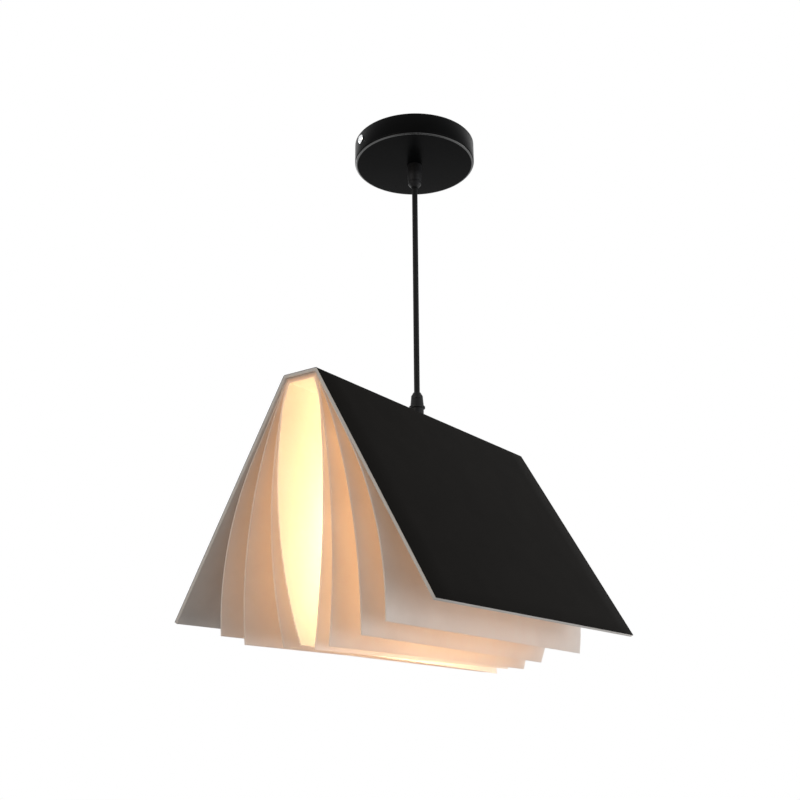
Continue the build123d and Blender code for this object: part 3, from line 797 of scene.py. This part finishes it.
def ring_tree():
    """Geometry nodes that stand copies of a piece round the cord, facing outwards."""
    tree = bpy.data.node_groups.new("ring_of_pieces", "GeometryNodeTree")
    sockets = (
        ("Piece", "NodeSocketObject"), ("Finish", "NodeSocketMaterial"), ("Count", "NodeSocketInt"),
        ("Ring radius", "NodeSocketFloat"), ("Height", "NodeSocketFloat"),
        ("First angle", "NodeSocketFloat"),
    )
    for name, kind in sockets:
        tree.interface.new_socket(name, in_out="INPUT", socket_type=kind)
    tree.interface.new_socket("Geometry", in_out="OUTPUT", socket_type="NodeSocketGeometry")
    given = tree.nodes.new("NodeGroupInput").outputs
    link, add = tree.links.new, tree.nodes.new

    def sum_of(operation, *values):
        node = add("ShaderNodeMath")
        node.operation = operation
        for socket, value in zip(node.inputs, values):
            if isinstance(value, (int, float)):
                socket.default_value = value
            else:
                link(value, socket)
        return node.outputs[0]

    line = add("GeometryNodeMeshLine")
    link(given["Count"], line.inputs["Count"])
    step = sum_of("DIVIDE", 2 * pi, given["Count"])
    turn = sum_of("ADD", sum_of("MULTIPLY", add("GeometryNodeInputIndex").outputs[0], step),
                  given["First angle"])
    spot = add("ShaderNodeCombineXYZ")
    link(sum_of("MULTIPLY", sum_of("COSINE", turn), given["Ring radius"]), spot.inputs[0])
    link(sum_of("MULTIPLY", sum_of("SINE", turn), given["Ring radius"]), spot.inputs[1])
    link(given["Height"], spot.inputs[2])
    place = add("GeometryNodeSetPosition")
    link(line.outputs["Mesh"], place.inputs["Geometry"])
    link(spot.outputs[0], place.inputs["Position"])
    facing = add("ShaderNodeCombineXYZ")
    facing.inputs[1].default_value = pi / 2
    link(turn, facing.inputs[2])
    way = add("FunctionNodeEulerToRotation")
    link(facing.outputs[0], way.inputs[0])
    info = add("GeometryNodeObjectInfo")
    link(given["Piece"], info.inputs["Object"])
    copies = add("GeometryNodeInstanceOnPoints")
    link(place.outputs["Geometry"], copies.inputs["Points"])
    link(info.outputs["Geometry"], copies.inputs["Instance"])
    link(way.outputs[0], copies.inputs["Rotation"])
    real = add("GeometryNodeRealizeInstances")
    link(copies.outputs["Instances"], real.inputs["Geometry"])
    paint = add("GeometryNodeSetMaterial")
    link(real.outputs["Geometry"], paint.inputs["Geometry"])
    link(given["Finish"], paint.inputs["Material"])
    link(paint.outputs["Geometry"], add("NodeGroupOutput").inputs["Geometry"])
    return tree


def ring_of(name, piece, finish, copies, radius, height, first):
    """Copies of the piece round the cord, as one plain mesh."""
    tree = bpy.data.node_groups.get("ring_of_pieces") or ring_tree()
    result = new_object(name, [(0, 0, 0)], [])
    nodes = result.modifiers.new("ring", "NODES")
    nodes.node_group = tree
    values = {
        "Piece": piece, "Finish": bpy.data.materials[finish], "Count": copies,
        "Ring radius": radius, "Height": height, "First angle": first,
    }
    for item in tree.interface.items_tree:
        if item.in_out == "INPUT":
            nodes[item.identifier] = values[item.name]
    apply_modifiers(result)
    bpy.data.objects.remove(piece)
    return result


# Screws: chamfers and thread depth, a crest's start and end in the pitch, the rim's share of the head
SCREW_TIP = 0.5 * mm
THREAD_DEPTH = 0.35 * mm
HEAD_CHAMFER = 0.15 * mm
CREST_START = 0.4
CREST_END = 0.55
HEAD_RIM = 0.26


def screw_shape(shank, length, head, height, slot_width, slot_depth, pitch, turn):
    """A round-head slotted screw on the Z axis, its seat at height zero, its shank threaded."""
    outline = [(0, -length), (shank - SCREW_TIP, -length)]
    z = -length + SCREW_TIP
    while z < -pitch:
        outline += [
            (shank - THREAD_DEPTH, z),
            (shank, z + pitch * CREST_START),
            (shank, z + pitch * CREST_END),
        ]
        z += pitch
    outline += [(shank, 0), (head - HEAD_CHAMFER, 0), (head, HEAD_CHAMFER)]
    rim = height * HEAD_RIM
    rise = height - rim
    ball = (head ** 2 + rise ** 2) / (2 * rise)
    edge = atan2(head, ball - rise)
    for step in range(SCREW_STEPS + 1):
        a = edge * (1 - step / SCREW_STEPS)
        outline.append((ball * sin(a), rim + rise - ball + ball * cos(a)))
    screw = new_object("screw", *turned(outline, SCREW_SIDES))
    cube = bmesh.new()
    bmesh.ops.create_cube(cube, size=1)
    bmesh.ops.scale(cube, vec=(3 * head, slot_width, slot_depth * 2), verts=cube.verts)
    bmesh.ops.rotate(cube, cent=(0, 0, 0), matrix=Matrix.Rotation(turn, 3, "Z"), verts=cube.verts)
    bmesh.ops.translate(cube, vec=(0, 0, height), verts=cube.verts)
    mesh = bpy.data.meshes.new("blade")
    cube.to_mesh(mesh)
    cube.free()
    blade = bpy.data.objects.new("blade", mesh)
    bpy.context.scene.collection.objects.link(blade)
    cut_out(screw, blade)
    return screw


class LAMP_OT_side_screws(bpy.types.Operator):
    """Make the chrome screws in the canopy's side"""

    bl_idname = "lamp.side_screws"
    bl_label = "Side screws"

    def execute(self, context):
        s = context.scene.lamp_canopy
        screw = screw_shape(
            shank=2.1 * mm, length=8 * mm, head=4.4 * mm, height=2.8 * mm,
            slot_width=1.15 * mm, slot_depth=1.4 * mm, pitch=0.8 * mm, turn=radians(45),
        )
        screws =ring_of("side_screws", screw, "chrome", s.screw_count, s.radius, -s.screw_drop,
                         s.screw_angle)
        finish_piece(screws, "canopy", "chrome", ["canopy_side_screws"])
        return {"FINISHED"}


class LAMP_OT_grips(bpy.types.Operator):
    """Make the bodies and caps of the two cord grips"""

    bl_idname = "lamp.grips"
    bl_label = "Cord grips"

    def execute(self, context):
        s = context.scene.lamp_grips
        base = foot_of("canopy_cup")
        seam = foot_of("upper_grip_body") + s.spigot_length
        skirt = [(s.upper_base_radius, base), (s.upper_seam_radius, seam)]
        self.make(s, "upper", "canopy", -1, base, seam, skirt, s.upper_seam_radius)
        base = foot_of("lower_grip_body")
        seam = top_of("lower_grip_body") - s.spigot_length
        under = seam - s.flange_drop
        above = under + s.flange_height
        skirt = [
            (s.foot_radius, base), (s.foot_radius, under), (s.flange_radius, under),
            (s.flange_radius, above), (s.neck_radius, above), (s.lower_seam_radius, seam),
        ]
        self.make(s, "lower", "lamp", 1, base, seam, skirt, s.lower_seam_radius)
        return {"FINISHED"}

    def make(self, s, which, body, out, base, seam, skirt, seam_radius):
        """One grip: out is 1 with its mouth upwards and -1 downwards."""
        for part, outline in (
            ("body", grip_body(s, base, seam, out, skirt)),
            ("cap", grip_cap(s, seam, out, seam_radius)),
        ):
            form = turned(rounded(outline, s.edge_radius), GRIP_SIDES)
            piece = new_object(f"grip_{part}_{which}", *form)
            finish_piece(piece, body, "grip_plastic", [f"{which}_grip_{part}"])


def grip_body(s, base, seam, out, skirt):
    """Outline of a grip's body, from its threaded foot to the spigot that the cap screws on."""
    spigot = seam + out * s.spigot_length
    pocket = spigot - out * s.pocket_depth
    entry = base + out * s.thread_entry
    return [
        (s.thread_radius, base), *skirt, (s.spigot_radius, seam), (s.spigot_radius, spigot),
        (s.pocket_radius, spigot), (s.pocket_radius, pocket), (s.bore_radius, pocket),
        (s.bore_radius, entry), (s.thread_radius, entry),
    ]


# A grip's cap: play round the spigot, room over it, and taper of the straight part
CAP_PLAY = 0.05 * mm
CAP_ROOM = 0.1 * mm
CAP_TAPER = 0.2 * mm


def grip_cap(s, seam, out, seam_radius):
    """Outline of the tapered cap over a grip's spigot."""
    over = s.spigot_radius + CAP_PLAY
    inside = seam + out * (s.spigot_length + CAP_ROOM)
    mouth, shoulder = seam + out * s.cap_length, seam + out * s.shoulder
    return [
        (over, seam), (seam_radius, seam), (seam_radius - CAP_TAPER, shoulder),
        (s.mouth_radius, mouth), (s.bore_radius, mouth), (s.bore_radius, inside), (over, inside),
    ]


# Least radius inside a fold of the cover
LEAST_FOLD = 0.25 * mm


def cover_line(s, depth):
    """Points across the folded cover at a depth below its outer face."""
    lean = s.slant
    top = top_of("cover_jacket") - depth
    half = s.spine_half - depth * tan(lean)
    foot_x = s.spine_half + s.depth * tan(lean) - depth * cos(lean)
    foot_z = top_of("cover_jacket") - s.depth - depth * sin(lean)
    bend = max(s.fold_radius - depth, LEAST_FOLD)
    turn = pi / 2 - lean
    cut = bend * tan(turn / 2)
    turns = [turn * t / FOLD_STEPS for t in range(FOLD_STEPS + 1)]
    line = [(half - cut + bend * sin(a), top - bend + bend * cos(a)) for a in turns]
    first = Vector(line[-1])
    last = Vector((foot_x, foot_z))
    line += [tuple(first.lerp(last, t / PANEL_STEPS)) for t in range(1, PANEL_STEPS + 1)]
    return [(-x, z) for x, z in reversed(line)] + line


def folded_slab(name, outer, inner, half_length, rows):
    """A slab between two lines of (x, z) points, drawn out along the book.

    Each line is a function of the place along the book: 0 at its near end and 1 at its far end."""
    points, faces = [], []
    across = len(outer(0))
    for row in range(rows + 1):
        t = row / rows
        y = -half_length + 2 * half_length * t
        points += [(x, y, z) for x, z in outer(t)]
        points += [(x, y, z) for x, z in inner(t)]
    ring = 2 * across

    def at(row, side, i):
        return row * ring + side * across + i

    for row in range(rows):
        for i in range(across - 1):
            faces.append((at(row, 0, i), at(row, 0, i + 1), at(row + 1, 0, i + 1), at(row + 1, 0, i)))
            faces.append((at(row, 1, i), at(row + 1, 1, i), at(row + 1, 1, i + 1), at(row, 1, i + 1)))
        for i in (0, across - 1):
            faces.append((at(row, 0, i), at(row + 1, 0, i), at(row + 1, 1, i), at(row, 1, i)))
    for row in (0, rows):
        for i in range(across - 1):
            faces.append((at(row, 0, i), at(row, 1, i), at(row, 1, i + 1), at(row, 0, i + 1)))
    return new_object(name, points, faces)


class LAMP_OT_cover(bpy.types.Operator):
    """Make the folded board of the cover and the jacket over it"""

    bl_idname = "lamp.cover"
    bl_label = "Cover"

    def execute(self, context):
        s = context.scene.lamp_cover
        # Each piece's outer and inner depth and the rounding of its edges
        for name, slot, node, start, end, edge in (
            ("cover_panels", "cover_white", "cover_board", s.jacket, s.thickness, 0.25 * mm),
            ("cover_wrap", "cover_black", "cover_jacket", 0, s.jacket, 0.1 * mm),
        ):
            outer, inner = cover_line(s, start), cover_line(s, end)
            piece = folded_slab(name, lambda t: outer, lambda t: inner, s.length / 2, COVER_ROWS)
            bevel(piece, edge)
            drill_for_nipple(piece, node, 8 * mm, 2 * mm)
            finish_piece(piece, "lamp", slot, [node])
        return {"FINISHED"}


# Each sheet's slants off plumb at its crease and knee, in degrees, and its length to the knee, in mm
LEAVES = (
    (29.4, 28.9, 65.0),
    (29.0, 18.4, 49.0),
    (25.8, 12.1, 16.0),
    (22.4, 5.7, 31.0),
)
# Slants at the feet: near left, near right and far right. The far left follows the near right
LEAF_FEET = (
    (-6.2, -0.3, -9.3),
    (-7.3, 0.9, -21.2),
    (-17.2, -4.1, -16.9),
    (-22.6, -6.5, -23.4),
)


def foot_slant(leaf, side, end):
    """Slant of a leaf's foot: side is 1 on the right, end is 1 near."""
    near_left, near_right, far_right = LEAF_FEET[leaf]
    if side == end:
        return near_right
    return far_right if side > 0 else near_left


def leaf_side(s, cover, leaf, side, end, depth):
    """Points down one face of one leaf at one end of the book: end is 1 near and -1 far."""
    half = cover.spine_half - cover.thickness * tan(cover.slant) - s.gap
    for leave, _, _ in LEAVES[:leaf]:
        half -= s.thickness * tan(radians(90 - leave) / 2) + s.gap
    leave, knee, knee_length = LEAVES[leaf]
    fold = radians(90 - leave)
    x = half - s.fold_radius * tan(fold / 2)
    z = top_of("cover_jacket") - cover.thickness - leaf * s.thickness - depth
    slants = [radians(v) for v in (90, leave, knee, foot_slant(leaf, side, end))]
    knee_length *= mm
    lengths = (s.fold_radius * fold, knee_length, s.length - knee_length)
    line = [(x, z)]
    for first, last, arc, steps in zip(slants, slants[1:], lengths, LEAF_STEPS):
        turn = last - first
        way = 1 if turn > 0 else -1
        radius = (arc / abs(turn) + way * depth) * way
        angles = [first + turn * t / steps for t in range(1, steps + 1)]
        line += [
            (x + radius * (cos(first) - cos(a)), z - radius * (sin(a) - sin(first)))
            for a in angles
        ]
        x, z = line[-1]
    return [(side * px, pz) for px, pz in line]


def leaf_line(s, cover, leaf, end, depth):
    """Points across a whole sheet, from its left foot over the spine to its right foot."""
    left = leaf_side(s, cover, leaf, -1, end, depth)
    right = leaf_side(s, cover, leaf, 1, end, depth)
    return list(reversed(left)) + right


def sheet_face(s, cover, leaf, depth):
    """One face of a sheet, as a function of the place along the book."""
    near = leaf_line(s, cover, leaf, 1, depth)
    far = leaf_line(s, cover, leaf, -1, depth)
    return lambda t: [
        (a[0] + (b[0] - a[0]) * t, a[1] + (b[1] - a[1]) * t) for a, b in zip(near, far)
    ]


class LAMP_OT_leaves(bpy.types.Operator):
    """Make the four folded sheets, eight leaves in all"""

    bl_idname = "lamp.leaves"
    bl_label = "Leaves"

    def execute(self, context):
        s, cover = context.scene.lamp_leaves, context.scene.lamp_cover
        for leaf in range(len(LEAVES)):
            outer = sheet_face(s, cover, leaf, 0)
            inner = sheet_face(s, cover, leaf, s.thickness)
            node = f"sheet_{leaf + 1}"
            piece = folded_slab(f"leaves_{leaf + 1}", outer, inner, cover.length / 2 - s.inset, s.rows)
            drill_for_nipple(piece, node, 3 * mm, 1 * mm)
            finish_piece(piece, "lamp", "leaf_sheet", [node], sharp=LEAF_SHARP,
                         finish=f"leaf_sheet_{leaf + 1}")
        return {"FINISHED"}


# The bulb's diffuser: its wall, its roundness as a share of its radius, and the step of its bowl
BULB_WALL = 1.2 * mm
BULB_ROUNDNESS = 0.85
BOWL_STEP = 6


class LAMP_OT_bulb(bpy.types.Operator):
    """Make the bulb's opal diffuser"""

    bl_idname = "lamp.bulb"
    bl_label = "Bulb"

    def execute(self, context):
        top, foot = top_of("bulb_glass"), foot_of("bulb_glass")
        radius = reach_of("bulb_glass")
        bend = radius * BULB_ROUNDNESS

        def bowl(shrink):
            return [
                (radius - bend + (bend - shrink) * sin(radians(a)),
                 foot + bend - (bend - shrink) * cos(radians(a)))
                for a in range(0, 91, BOWL_STEP)
            ]

        outline = [(0, foot)] + bowl(0) + [(radius, top), (radius - BULB_WALL, top)]
        outline += list(reversed(bowl(BULB_WALL))) + [(0, foot + BULB_WALL)]
        piece = new_object("bulb_diffuser", *turned(outline, BULB_SIDES))
        finish_piece(piece, "lamp", "bulb_opal", ["bulb_glass"])
        return {"FINISHED"}


class LAMP_PT_lamp(bpy.types.Panel):
    """Sizes, colours and pieces of the lamp"""

    bl_idname = "LAMP_PT_lamp"
    bl_label = "Open book lamp"
    bl_space_type = "VIEW_3D"
    bl_region_type = "UI"
    bl_category = "Lamp"

    def draw(self, context):
        for name, group in GROUPS.items():
            box = self.layout.box()
            box.label(text=name.replace("_", " ").capitalize())
            for setting in group.__annotations__:
                box.prop(getattr(context.scene, name), setting)
        for operator in OPERATORS:
            self.layout.operator(operator.bl_idname)


OPERATORS = (
    LAMP_OT_finishes,
    LAMP_OT_stage,
    LAMP_OT_cord,
    LAMP_OT_canopy,
    LAMP_OT_side_screws,
    LAMP_OT_grips,
    LAMP_OT_cover,
    LAMP_OT_leaves,
    LAMP_OT_bulb,
)


def register():
    for name, group in GROUPS.items():
        bpy.utils.register_class(group)
        setattr(bpy.types.Scene, name, PointerProperty(type=group))
    for kind in OPERATORS + (LAMP_PT_lamp,):
        bpy.utils.register_class(kind)


def unregister():
    for kind in reversed(OPERATORS + (LAMP_PT_lamp,)):
        bpy.utils.unregister_class(kind)
    for name, group in reversed(GROUPS.items()):
        delattr(bpy.types.Scene, name)
        bpy.utils.unregister_class(group)


def main():
    register()
    for operator in OPERATORS:
        group, action = operator.bl_idname.split(".")
        getattr(getattr(bpy.ops, group), action)()


if __name__ == "__main__":
    main()
